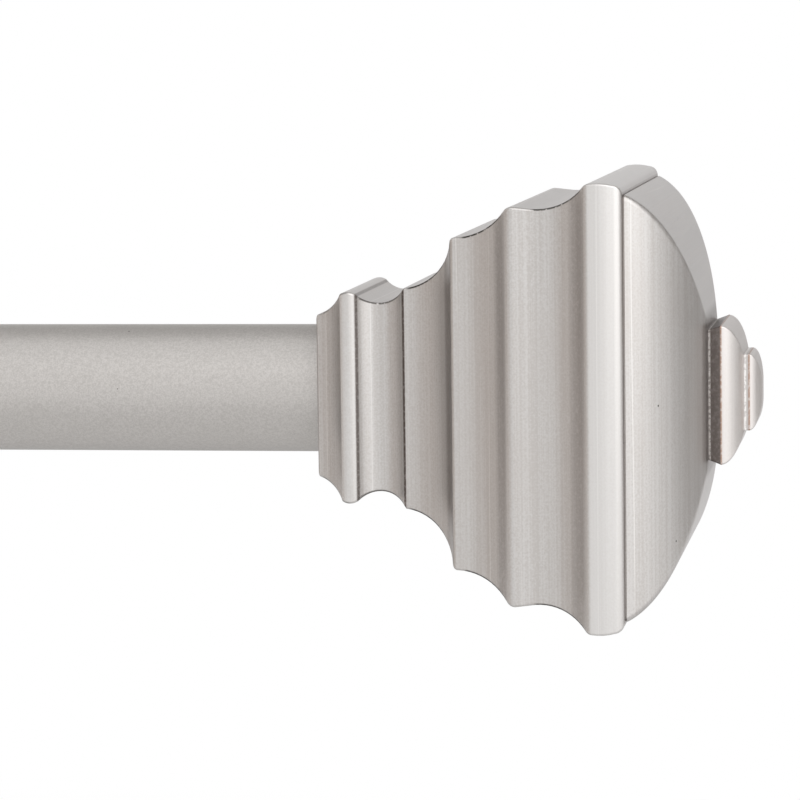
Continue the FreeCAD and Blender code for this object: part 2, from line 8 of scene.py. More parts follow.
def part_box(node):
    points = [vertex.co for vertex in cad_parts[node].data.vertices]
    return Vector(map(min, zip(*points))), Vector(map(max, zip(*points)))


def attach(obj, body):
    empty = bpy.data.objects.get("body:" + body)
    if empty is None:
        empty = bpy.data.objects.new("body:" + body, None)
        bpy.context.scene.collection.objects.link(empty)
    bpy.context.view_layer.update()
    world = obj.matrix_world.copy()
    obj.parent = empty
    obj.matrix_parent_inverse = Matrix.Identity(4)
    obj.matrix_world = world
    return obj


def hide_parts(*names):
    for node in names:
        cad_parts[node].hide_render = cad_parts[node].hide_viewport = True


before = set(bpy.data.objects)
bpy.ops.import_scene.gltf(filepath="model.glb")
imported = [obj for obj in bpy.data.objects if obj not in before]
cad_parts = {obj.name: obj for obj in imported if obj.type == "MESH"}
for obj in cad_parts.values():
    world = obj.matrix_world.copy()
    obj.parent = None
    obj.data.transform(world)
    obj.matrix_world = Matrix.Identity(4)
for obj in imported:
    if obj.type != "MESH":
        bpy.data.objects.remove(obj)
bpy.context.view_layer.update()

# ---- Camera ----
# A long lens about three quarters of a metre from the right-hand finial, a little to its right
# and above it, turned to look back along the rod.
camera = bpy.data.objects.new("camera", bpy.data.cameras.new("camera"))
camera.data.lens = 165.8
camera_turn = (
    Matrix.Rotation(math.radians(8.78), 4, "Z")
    @ Matrix.Rotation(math.radians(90 - 5.96), 4, "X")
    @ Matrix.Rotation(math.radians(-0.76), 4, "Z")
)
camera.matrix_world = Matrix.Translation((0.46070, -0.81064, 0.07368)) @ camera_turn
bpy.context.scene.collection.objects.link(camera)
bpy.context.scene.camera = camera


# ---- Mounting plates ----
# Two stamped steel plates, zinc plated, that screw to the wall. The stud in the middle of each
# carries the stem, and the cover hides the rest.
class Finish:
    """A procedural material in the making: adds nodes to one Principled surface and links them."""

    def __init__(self, name, metallic, roughness):
        self.material = bpy.data.materials.new(name)
        self.material.use_nodes = True
        self.tree = self.material.node_tree
        self.surface = self.tree.nodes["Principled BSDF"]
        self.place = self.add("ShaderNodeTexCoord").outputs["Object"]
        self.surface.inputs["Metallic"].default_value = metallic
        self.surface.inputs["Roughness"].default_value = roughness

    def add(self, kind, inputs=None, **settings):
        node = self.tree.nodes.new(kind)
        for key, value in settings.items():
            setattr(node, key, value)
        for key, value in (inputs or {}).items():
            self.feed(node.inputs[key], value)
        return node

    def feed(self, socket, value):
        if isinstance(value, bpy.types.NodeSocket):
            self.tree.links.new(value, socket)
        else:
            socket.default_value = value

    def math(self, operation, first, second=0.0):
        node = self.add("ShaderNodeMath", operation=operation)
        self.feed(node.inputs[0], first)
        self.feed(node.inputs[1], second)
        return node.outputs[0]

    def stretched(self, scales):
        """Object coordinates, in cycles per metre along X, Y and Z."""
        return self.add("ShaderNodeMapping", {"Vector": self.place, "Scale": scales}).outputs[0]

    def noise(self, scales, detail=2.0, roughness=0.5):
        inputs = {"Vector": self.stretched(scales), "Scale": 1.0, "Detail": detail, "Roughness": roughness}
        return self.add("ShaderNodeTexNoise", inputs).outputs["Fac"]

    def dots(self, per_metre):
        """Distance to the nearest of many scattered points, in parts of their spacing."""
        inputs = {"Vector": self.place, "Scale": per_metre}
        return self.add("ShaderNodeTexVoronoi", inputs).outputs["Distance"]

    def range(self, value, low, high, start=0.0, end=1.0):
        """Smooth step of a value: start at its low end, end at its high one."""
        inputs = {"Value": value, "From Min": low, "From Max": high, "To Min": start, "To Max": end}
        node = self.add("ShaderNodeMapRange", inputs, interpolation_type="SMOOTHSTEP")
        return node.outputs["Result"]

    def mix(self, share, first, second):
        """Two colours mixed by a share."""
        node = self.add("ShaderNodeMix", data_type="RGBA")
        self.feed(node.inputs["Factor"], share)
        for socket, colour in ((node.inputs[6], first), (node.inputs[7], second)):
            self.feed(socket, colour if isinstance(colour, bpy.types.NodeSocket) else (*colour, 1.0))
        return node.outputs[2]

    def bump(self, height, distance, strength, before=None):
        inputs = {"Height": height, "Distance": distance, "Strength": strength}
        if before:
            inputs["Normal"] = before
        return self.add("ShaderNodeBump", inputs).outputs[0]

    def wear(self, **inputs):
        for key, value in inputs.items():
            self.feed(self.surface.inputs[key.replace("_", " ")], value)
        return self.material


def zinc_plating():
    """Pale bluish spangle with a yellowish cast here and there."""
    zinc = Finish("zinc_plating", 1.0, 0.42)
    spangle = zinc.noise((400, 400, 400), 3.0)
    stain = zinc.noise((60, 60, 60), 2.0)
    colour = zinc.mix(zinc.range(spangle, 0.35, 0.65), (0.50, 0.51, 0.52), (0.66, 0.67, 0.69))
    colour = zinc.mix(zinc.range(stain, 0.55, 0.8, 0.0, 0.5), colour, (0.60, 0.56, 0.45))
    normal = zinc.bump(zinc.noise((1500, 1500, 1500), 2.0), 0.00005, 0.3)
    return zinc.wear(Base_Color=colour, Roughness=zinc.range(spangle, 0.3, 0.7, 0.34, 0.5), Normal=normal)


def dress(node, material):
    """Gives a CAD piece that keeps its own shape a finish."""
    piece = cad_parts[node]
    piece.data.materials.clear()
    piece.data.materials.append(material)


MM = 0.001
SIDES = {"left": -1, "right": 1}
ZINC = zinc_plating()
for side in SIDES:
    dress(side + "_mounting_plate", ZINC)


# ---- Base covers ----
# Square stepped rosettes, cast hollow and brushed, that slide along the stems and hide the plates.
# Their coves echo the finials', and a small black screw under the neck holds each one.
def follow(start, members):
    """Outline from a start through (along, half width, radius) members.

    A positive radius hollows the outline, a negative one rounds it out, and 0 is straight.
    """
    points = [start]
    for along, half, radius in members:
        x0, h0 = points[-1]
        if radius:
            chord = math.hypot(along - x0, half - h0)
            to_centre = math.copysign(math.sqrt(radius ** 2 - chord ** 2 / 4), radius)
            centre_x = (x0 + along) / 2 - to_centre * (half - h0) / chord
            centre_h = (h0 + half) / 2 + to_centre * (along - x0) / chord
            first = math.atan2(h0 - centre_h, x0 - centre_x)
            turn = math.atan2(half - centre_h, along - centre_x) - first
            turn = (turn + math.pi) % (2 * math.pi) - math.pi
            steps = max(3, round(abs(math.degrees(turn)) / 5))
            for step in range(1, steps):
                angle = first + turn * step / steps
                points.append((centre_x + abs(radius) * math.cos(angle),
                               centre_h + abs(radius) * math.sin(angle)))
        points.append((along, half))
    return points


def ring_at(bm, along):
    """Open edges that lie across the axis at a distance along it."""
    return [e for e in bm.edges if e.is_boundary and all(abs(v.co.x - along) < 1e-4 for v in e.verts)]


def carry(bm, ring, here, points):
    """Carries a ring of edges on through (along, half width) points, and returns the last ring."""
    for along, half in points:
        grown = bmesh.ops.extrude_edge_only(bm, edges=ring)["geom"]
        corners = [v for v in grown if isinstance(v, bmesh.types.BMVert)]
        ring = [e for e in grown if isinstance(e, bmesh.types.BMEdge) and e.is_boundary]
        growth = half / here[1]
        bmesh.ops.scale(bm, vec=(1, growth, growth), verts=corners)
        bmesh.ops.translate(bm, vec=(along - here[0], 0, 0), verts=corners)
        here = along, half
    return ring


def ring_of(bm, along, radius, segments):
    """Ring of edges across the axis: a circle, or a square for four segments."""
    turn = Matrix.Rotation(math.radians(90), 4, "Y") @ Matrix.Rotation(math.pi / segments, 4, "Z")
    place = Matrix.Translation((along, 0, 0)) @ turn
    made = bmesh.ops.create_circle(bm, segments=segments, radius=radius, matrix=place)
    return list({e for v in made["verts"] for e in v.link_edges})


def square_moulding(outline, mitre_round):
    """Open square moulding along X through (along, half width) points, its four mitres rounded."""
    bm = bmesh.new()
    along, half = outline[0]
    carry(bm, ring_of(bm, along, half * math.sqrt(2), 4), outline[0], outline[1:])
    mitres = [e for e in bm.edges
              if e.verts[0].co.y * e.verts[1].co.y > 0 and e.verts[0].co.z * e.verts[1].co.z > 0]
    bmesh.ops.bevel(bm, geom=mitres, offset=mitre_round, offset_type="OFFSET", segments=3,
                    profile=0.5, affect="EDGES", clamp_overlap=False, material=-1)
    return bm


def close(bm, edges):
    """Flat faces inside one ring, or between two."""
    bmesh.ops.triangle_fill(bm, use_beauty=True, edges=edges)


def turned(outline, segments=96):
    """Closed turned solid along X through (along, radius) points, flat at both ends."""
    bm = bmesh.new()
    carry(bm, ring_of(bm, outline[0][0], outline[0][1], segments), outline[0], outline[1:])
    close(bm, ring_at(bm, outline[0][0]))
    close(bm, ring_at(bm, outline[-1][0]))
    return bm


def turned_ring(outline, segments=96):
    """Closed turned ring along X, whose outline's last point joins up with its first."""
    bm = bmesh.new()
    made = [bm.verts.new((along, 0, radius)) for along, radius in outline]
    edges = [bm.edges.new(pair) for pair in zip(made, made[1:] + made[:1])]
    bmesh.ops.spin(bm, geom=made + edges, cent=(0, 0, 0), axis=(1, 0, 0), angle=math.tau,
                   steps=segments, use_merge=True)
    return bm


def piece_of(name, bm, place, material, body, nodes):
    """Makes a mesh, drawn in millimetres, a piece that rides on its body and stands for CAD nodes."""
    bmesh.ops.remove_doubles(bm, verts=bm.verts, dist=1e-4)
    bmesh.ops.transform(bm, matrix=place @ Matrix.Scale(MM, 4), verts=bm.verts)
    bmesh.ops.recalc_face_normals(bm, faces=bm.faces)
    mesh = bpy.data.meshes.new(name)
    bm.to_mesh(mesh)
    bm.free()
    mesh.shade_smooth()
    mesh.set_sharp_from_angle(angle=math.radians(30))
    mesh.materials.append(material)
    piece = bpy.data.objects.new(name, mesh)
    bpy.context.scene.collection.objects.link(piece)
    weights = piece.modifiers.new("weights", "WEIGHTED_NORMAL")
    weights.keep_sharp = True
    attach(piece, body)
    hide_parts(*nodes)


def outward(side):
    """From a piece's own axis, along X, to its bracket's, straight out from the wall."""
    low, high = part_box(side + "_stem")
    return Matrix.Translation(((low.x + high.x) / 2, 0, 0)) @ Matrix.Rotation(math.radians(-90), 4, "Z")


def satin_nickel(name, fine, across, roughness=0.33):
    """Brushed satin nickel.

    fine is how close the brush lines lie, in cycles per metre on each axis, and across is the way over them.
    """
    nickel = Finish(name, 1.0, roughness)
    brush = nickel.noise(fine, 3.0, 0.6)
    broad = nickel.noise([f / 5 for f in fine], 2.0)
    cloud = nickel.noise((30, 30, 30), 2.0)
    grain = nickel.noise((2600, 2600, 2600), 1.0)
    tone = nickel.math("ADD", nickel.math("MULTIPLY", brush, 0.45), nickel.math("MULTIPLY", broad, 0.2))
    tone = nickel.math("ADD", tone, nickel.math("MULTIPLY", grain, 0.35))
    colour = nickel.mix(nickel.range(tone, 0.38, 0.62), (0.515, 0.488, 0.467), (0.605, 0.587, 0.573))
    nickel.colour = nickel.mix(nickel.range(cloud, 0.4, 0.75, 0.0, 0.4), colour, (0.54, 0.505, 0.48))
    nickel.gloss = nickel.range(tone, 0.3, 0.7, roughness - 0.04, roughness + 0.06)
    nickel.surface.inputs["Specular Tint"].default_value = (0.77, 0.76, 0.76, 1.0)
    nickel.relief = nickel.bump(brush, 0.00002, 0.3)
    nickel.relief = nickel.bump(grain, 0.00002, 0.2, nickel.relief)
    nickel.surface.inputs["Anisotropic"].default_value = 0.4
    nickel.feed(nickel.surface.inputs["Tangent"],
                nickel.add("ShaderNodeCombineXYZ", dict(zip("XYZ", across))).outputs[0])
    return nickel


def bracket_nickel():
    """The rosettes', stems' and cradles' satin nickel, brushed round the bracket's axis."""
    nickel = satin_nickel("bracket_nickel", (40, 2200, 40), (0.02, 1.0, 0.03))
    return nickel.wear(Base_Color=nickel.colour, Roughness=nickel.gloss, Normal=nickel.relief)


BRACKET_NICKEL = bracket_nickel()
for side in SIDES:
    low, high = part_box(side + "_base_cover")
    foot = (high.z - low.z) / 2 / MM
    depth = (high.y - low.y) / MM
    bm = square_moulding(follow((0, foot - 0.5), [
        (0.5, foot, -0.5), (3.5, foot, 0), (4.0, foot - 0.5, -0.5), (13.5, 22.2, 12.0),
        (14.0, 21.8, -0.5), (14.0, 21.0, 0), (15.5, 20.5, -2.0), (22.0, 11.1, 10.0),
        (depth - 0.5, 11.1, 0), (depth, 10.6, -0.5)]), 0.4)
    bore_radius = 8.1
    bore_start = 17.6
    bore = ring_of(bm, depth, bore_radius, 64)
    close(bm, ring_at(bm, depth))
    carry(bm, bore, (depth, bore_radius), [(bore_start, bore_radius)])
    hollow = [(0, 29.8), (2.9, 29.8), (11.8, 18.8), (bore_start, 9.2)]
    carry(bm, ring_at(bm, 0), (0, foot - 0.5), hollow)
    close(bm, ring_at(bm, bore_start))
    piece_of(side + "_cover", bm, outward(side), BRACKET_NICKEL, "wall_mounts",
             [side + "_base_cover"])


# ---- Stems ----
# Tubes that screw onto the plates' studs and hold the sliding arms. Each ends in a thicker collar
# with a tapped boss below for the arm's thumb screw, all brushed like the covers.
def joined(bm, added=(), cut=()):
    """One closed solid: others added to it, then others cut out of it."""
    def loose(mesh_bm):
        bmesh.ops.recalc_face_normals(mesh_bm, faces=mesh_bm.faces)
        mesh = bpy.data.meshes.new("part")
        mesh_bm.to_mesh(mesh)
        mesh_bm.free()
        part = bpy.data.objects.new("part", mesh)
        bpy.context.scene.collection.objects.link(part)
        return part

    whole = loose(bm)
    others = [(loose(other), "UNION") for other in added] + [(loose(other), "DIFFERENCE") for other in cut]
    for other, operation in others:
        step = whole.modifiers.new(operation, "BOOLEAN")
        step.operation = operation
        step.object = other
        step.solver = "EXACT"
    shape = whole.evaluated_get(bpy.context.evaluated_depsgraph_get()).to_mesh()
    result = bmesh.new()
    result.from_mesh(shape)
    for part in [whole] + [other for other, operation in others]:
        mesh = part.data
        bpy.data.objects.remove(part)
        bpy.data.meshes.remove(mesh)
    bmesh.ops.dissolve_degenerate(result, dist=1e-5, edges=result.edges)
    return result


def downward(along):
    """From a turned piece's own axis to one that points down, at a distance along the bracket."""
    return Matrix.Translation((along, 0, 0)) @ Matrix.Rotation(math.radians(90), 4, "Y")


def drop(bm, along):
    """Turns a mesh to point down."""
    bmesh.ops.transform(bm, matrix=downward(along), verts=bm.verts)
    return bm


TAPPED_RADIUS = 2.05
for side in SIDES:
    tube = turned_ring(follow((2.5, 6.45), [
        (2.9, 6.05, 0), (62.1, 6.05, 0), (62.5, 6.45, 0), (62.5, 8.85, 0), (61.7, 9.65, -0.8),
        (49.3, 9.65, 0), (48.5, 8.85, -0.8), (48.5, 8.45, 0), (48.1, 8.05, 0.4), (2.9, 8.05, 0),
        (2.5, 7.65, -0.4)]))
    screw_along = 55.5
    boss = drop(turned(follow((7.0, 4.5), [(12.15, 4.5, 0), (12.65, 4.0, -0.5)]), 48), screw_along)
    tapping = drop(turned([(4.0, TAPPED_RADIUS), (14.0, TAPPED_RADIUS)], 32), screw_along)
    piece_of(side + "_stem_tube", joined(tube, [boss], [tapping]), outward(side), BRACKET_NICKEL,
             "wall_mounts", [side + "_stem"])


# ---- Sliding arms ----
# Round steel bars, plated and brushed like the stems, that slide in them. The rod's cradle is
# brazed to the front end of each.
for side in SIDES:
    bar = turned(follow((17.0, 5.4), [(17.6, 6.0, 0), (74.0, 6.0, 0)]), 64)
    piece_of(side + "_arm_bar", bar, outward(side), BRACKET_NICKEL, side + "_arm",
             [side + "_arm"])


# ---- Cradles ----
# Open cups, cast in zinc and brushed, with straight lips that the rod drops in between. A boss
# at the back takes the arm, and one below is tapped for the screw that clamps the rod.
def cradle_cup(bore, outside, half_width, lip):
    """U-shaped band round X, its corners rounded."""
    bm = bmesh.new()
    middle = (bore + outside) / 2
    made = bmesh.ops.create_grid(bm, x_segments=1, y_segments=1, size=1)
    bmesh.ops.scale(bm, vec=(half_width, (outside - bore) / 2, 1), verts=made["verts"])
    bmesh.ops.bevel(bm, geom=made["verts"], offset=0.7, offset_type="OFFSET", segments=4, profile=0.5,
                    affect="VERTICES", clamp_overlap=True, material=-1)
    bmesh.ops.translate(bm, vec=(0, middle, 0), verts=bm.verts)
    bmesh.ops.spin(bm, geom=bm.faces[:], cent=(0, 0, 0), axis=(1, 0, 0), angle=-math.pi, steps=64)
    tip = 0.6
    for end in [f for f in bm.faces if all(abs(v.co.z) < 1e-4 for v in f.verts)]:
        lifted = bmesh.ops.extrude_discrete_faces(bm, faces=[end])["faces"]
        bmesh.ops.translate(bm, vec=(0, 0, lip - tip), verts=lifted[0].verts)
        top = bmesh.ops.extrude_discrete_faces(bm, faces=lifted)["faces"]
        corners = list(top[0].verts)
        centre = sum((v.co for v in corners), Vector()) / len(corners)
        bmesh.ops.translate(bm, vec=(0, 0, tip), verts=corners)
        bmesh.ops.scale(bm, vec=(0.93, 0.6, 1), space=Matrix.Translation(-centre), verts=corners)
    bmesh.ops.remove_doubles(bm, verts=bm.verts, dist=1e-4)
    return bm


for side in SIDES:
    low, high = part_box(side + "_cradle")
    wall_to_rod = 90.0
    bore_radius = 13.0
    on_rod = Matrix.Translation((wall_to_rod, 0, 0)) @ Matrix.Rotation(math.radians(90), 4, "Z")
    cup = cradle_cup(bore_radius, 16.0, (high.x - low.x) / 2 / MM, high.z / MM)
    bmesh.ops.transform(cup, matrix=on_rod, verts=cup.verts)
    arm_boss = turned(follow((66.0, 7.95), [(66.6, 8.55, -0.6), (79.0, 8.55, 0)]), 64)
    screw_boss = drop(turned(follow((13.5, 5.0), [(20.4, 5.0, 0), (21.0, 4.4, -0.6)]), 48), wall_to_rod)
    rod_space = turned([(-20.0, bore_radius), (20.0, bore_radius)], 128)
    bmesh.ops.transform(rod_space, matrix=on_rod, verts=rod_space.verts)
    tapping = drop(turned([(10.0, TAPPED_RADIUS), (22.0, TAPPED_RADIUS)], 32), wall_to_rod)
    arm_hole = turned([(60.0, 6.0), (74.0, 6.0)], 64)
    whole = joined(cup, [arm_boss, screw_boss], [rod_space, tapping, arm_hole])
    piece_of(side + "_cup", whole, outward(side), BRACKET_NICKEL, side + "_arm",
             [side + "_cradle"])


# ---- Thumb screws ----
# Steel screws with knurled heads, plated dark nickel: one below each stem to lock the arm, and
# one below each cradle to clamp the rod. They are turned by hand.
def knurled_steel():
    """Dark nickel plating, paler where fingers rub the knurl."""
    steel = Finish("knurled_steel", 1.0, 0.35)
    rub = steel.noise((250, 250, 250), 3.0)
    grain = steel.noise((2500, 2500, 2500), 1.0)
    colour = steel.mix(steel.range(rub, 0.35, 0.7), (0.30, 0.285, 0.27), (0.45, 0.435, 0.42))
    return steel.wear(Base_Color=colour, Roughness=steel.range(rub, 0.3, 0.7, 0.30, 0.45),
                      Normal=steel.bump(grain, 0.00002, 0.3))


def thumb_screw(length, neck, head, shank_radius, neck_radius, head_radius):
    """Screw along X, its point first and its knurled head last."""
    point = 0.5
    ridges = 44
    bm = turned(follow((0, shank_radius - 0.4), [
        (point, shank_radius, 0), (length - neck - head, shank_radius, 0),
        (length - neck - head, neck_radius, 0), (length - head, neck_radius, 0)]), 32)
    start = length - head
    edge = 0.6
    ring = ring_of(bm, start, head_radius - edge, 2 * ridges)
    ring = carry(bm, ring, (start, head_radius - edge), [(start + edge, head_radius)])
    valleys = sorted({v for e in ring for v in e.verts}, key=lambda v: math.atan2(v.co.y, v.co.z))[::2]
    bmesh.ops.scale(bm, vec=(1, 0.94, 0.94), verts=valleys)
    carry(bm, ring, (start + edge, head_radius), [
        (length - edge, head_radius), (length, head_radius - edge), (length, head_radius - 1.8),
        (length - 0.4, head_radius - 2.1)])
    close(bm, [e for e in bm.edges if e.is_boundary and e.verts[0].co.x < start + 0.1])
    close(bm, [e for e in bm.edges if e.is_boundary])
    return bm


KNURLED_STEEL = knurled_steel()
for side in SIDES:
    for node, body in (("_arm_lock_screw", "_arm_screw"), ("_cradle_screw", "_rod_screw")):
        low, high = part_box(side + node)
        middle = (low + high) / 2
        screw = thumb_screw((high.z - low.z) / MM, 2.0, 7.0, 2.0, 3.2, (high.x - low.x) / 2 / MM)
        place = Matrix.Translation((middle.x, middle.y, high.z)) @ Matrix.Rotation(math.radians(90), 4, "Y")
        piece_of(side + node + "_knurled", screw, place, KNURLED_STEEL, side + body,
                 [side + node])


# ---- Small screws ----
# Black oxide grub screws hold the covers and the finials. Tie screws in the same finish stand in the
# bottoms of the finials' sockets and pull the domes on.
def black_oxide():
    """Oiled black oxide with bare steel showing through on a few worn spots."""
    oxide = Finish("black_oxide", 0.9, 0.45)
    rub = oxide.noise((900, 900, 900), 3.0)
    colour = oxide.mix(oxide.range(rub, 0.55, 0.75), (0.035, 0.034, 0.036), (0.16, 0.155, 0.15))
    return oxide.wear(Base_Color=colour, Roughness=oxide.range(rub, 0.3, 0.7, 0.38, 0.52),
                      Normal=oxide.bump(rub, 0.00003, 0.3))


BLACK_OXIDE = black_oxide()
for side in SIDES:
    for node in ("_cover_lock_screw", "_finial_tie_screw", "_finial_set_screw"):
        dress(side + node, BLACK_OXIDE)


# ---- Outer rod tube ----
# One inch steel tube, one millimetre thick, with a baked metallic coat, satin and finely speckled.
# Its right end sits in the finial's socket, and its left end takes the nylon bush.
def rod_coat(name):
    """Pewter metallic paint: fine bright flake in a greyer ground, with a few dark specks."""
    coat = Finish(name, 0.75, 0.4)
    flake = coat.noise((3400, 3400, 3400), 1.0)
    mottle = coat.noise((1500, 1500, 1500), 2.0)
    drift = coat.noise((25, 60, 60), 2.0)
    tone = coat.math("ADD", coat.math("MULTIPLY", flake, 0.6), coat.math("MULTIPLY", mottle, 0.4))
    colour = coat.mix(coat.range(tone, 0.34, 0.66), (0.492, 0.470, 0.450), (0.602, 0.577, 0.556))
    colour = coat.mix(coat.range(drift, 0.4, 0.7, 0.0, 0.2), colour, (0.50, 0.48, 0.455))
    specks = coat.range(coat.dots(150), 0.02, 0.035, 1.0, 0.0)
    colour = coat.mix(specks, colour, (0.12, 0.11, 0.10))
    normal = coat.bump(mottle, 0.00002, 0.15)
    normal = coat.bump(flake, 0.00002, 0.2, normal)
    coat.surface.inputs["Specular Tint"].default_value = (0.7, 0.7, 0.7, 1.0)
    return coat.wear(Base_Color=colour, Roughness=coat.range(tone, 0.3, 0.7, 0.36, 0.46), Normal=normal)


def along_rod():
    """From millimetres along X to the rod's own axis."""
    low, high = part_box("outer_tube")
    middle = (low + high) / 2
    return Matrix.Translation((0, middle.y, middle.z))


ROD_COAT = rod_coat("rod_coat")
low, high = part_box("outer_tube")
left, right = low.x / MM, high.x / MM
outside = (high.z - low.z) / 2 / MM
wall = 1.0
inside = outside - wall
tube = turned_ring(follow((left + 0.3, inside), [
    (right - 0.3, inside, 0), (right, inside + 0.3, 0), (right, outside - 0.3, 0), (right - 0.3, outside, 0),
    (left + 0.3, outside, 0), (left, outside - 0.3, 0), (left, inside + 0.3, 0)]), 128)
piece_of("outer_rod", tube, along_rod(), ROD_COAT, "rod", ["outer_tube"])


# ---- Mouth bush and tail guide ----
# Black nylon rings that the tubes slide on: the bush is pressed into the outer tube's mouth, and
# the guide is plugged into the inner tube's hidden end.
def nylon():
    """Matt black nylon with a moulded grain."""
    plastic = Finish("nylon", 0.0, 0.55)
    grain = plastic.noise((1800, 1800, 1800), 2.0)
    flow = plastic.noise((60, 200, 200), 2.0)
    colour = plastic.mix(plastic.range(flow, 0.35, 0.7), (0.030, 0.030, 0.032), (0.050, 0.050, 0.052))
    return plastic.wear(Base_Color=colour, Roughness=plastic.range(grain, 0.3, 0.7, 0.48, 0.62),
                        Normal=plastic.bump(grain, 0.00004, 0.4))


NYLON = nylon()
low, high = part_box("mouth_bush")
left, right = low.x / MM, high.x / MM
outside = (high.z - low.z) / 2 / MM
flange = 1.5
bush = turned_ring(follow((left, 11.55), [
    (left + 0.4, 11.15, 0), (right, 11.15, 0), (right, 11.65, 0), (left + flange, 11.65, 0),
    (left + flange, outside, 0), (left + 0.5, outside, 0), (left, outside - 0.5, -0.5)]), 128)
piece_of("mouth_bush_ring", bush, along_rod(), NYLON, "rod", ["mouth_bush"])
low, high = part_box("inner_tail_guide")
left, right = low.x / MM, high.x / MM
outside = (high.z - low.z) / 2 / MM
flange = 4.0
guide = turned(follow((left, 9.65), [
    (left + 0.5, 10.15, 0), (right - flange, 10.15, 0), (right - flange, outside, 0), (right - 0.6, outside, 0),
    (right, outside - 0.6, -0.6)]), 96)
piece_of("tail_guide", guide, along_rod(), NYLON, "telescoping_rod", ["inner_tail_guide"])


# ---- Inner rod tube and its adapter ----
# The thinner tube that slides in the outer one, in the same coat. A coated sleeve on its left end
# brings it up to the size of the finial's socket.
low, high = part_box("inner_tube")
left, right = low.x / MM, high.x / MM
outside = (high.z - low.z) / 2 / MM
wall = 0.9
inside = outside - wall
tube = turned_ring(follow((left + 0.3, inside), [
    (right - 0.3, inside, 0), (right, inside + 0.3, 0), (right, outside - 0.3, 0), (right - 0.3, outside, 0),
    (left + 0.3, outside, 0), (left, outside - 0.3, 0), (left, inside + 0.3, 0)]), 128)
piece_of("inner_rod", tube, along_rod(), ROD_COAT, "telescoping_rod", ["inner_tube"])
low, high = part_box("inner_end_adapter")
left, right = low.x / MM, high.x / MM
outside = (high.z - low.z) / 2 / MM
sleeve = turned_ring(follow((left, 11.15), [
    (right, 11.15, 0), (right, outside - 0.5, 0), (right - 0.5, outside, -0.5), (left + 0.5, outside, 0),
    (left, outside - 0.5, -0.5)]), 128)
piece_of("adapter_sleeve", sleeve, along_rod(), ROD_COAT, "telescoping_rod",
         ["inner_end_adapter"])


# ---- Finial castings ----
# Square stepped mouldings, cast in zinc, plated and brushed round the rod's axis. Dark antique
# wax dots the mitres, wax and painted shade make the grooves dark, polish and painted highlight make
# the rims and bead pale, and a round socket in the small end takes the rod.
def outboard(side):
    """From millimetres along X to a finial, whose collar face is 0 and whose tip is further out."""
    low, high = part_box(side + "_finial_body")
    middle = (low + high) / 2
    face = low.x if side == "right" else high.x
    flip = Matrix.Scale(SIDES[side], 4, (1, 0, 0))
    return Matrix.Translation((face, middle.y, middle.z)) @ flip


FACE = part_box("right_finial_body")[0].x
AXIS_Y = (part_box("right_finial_body")[0].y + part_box("right_finial_body")[1].y) / 2


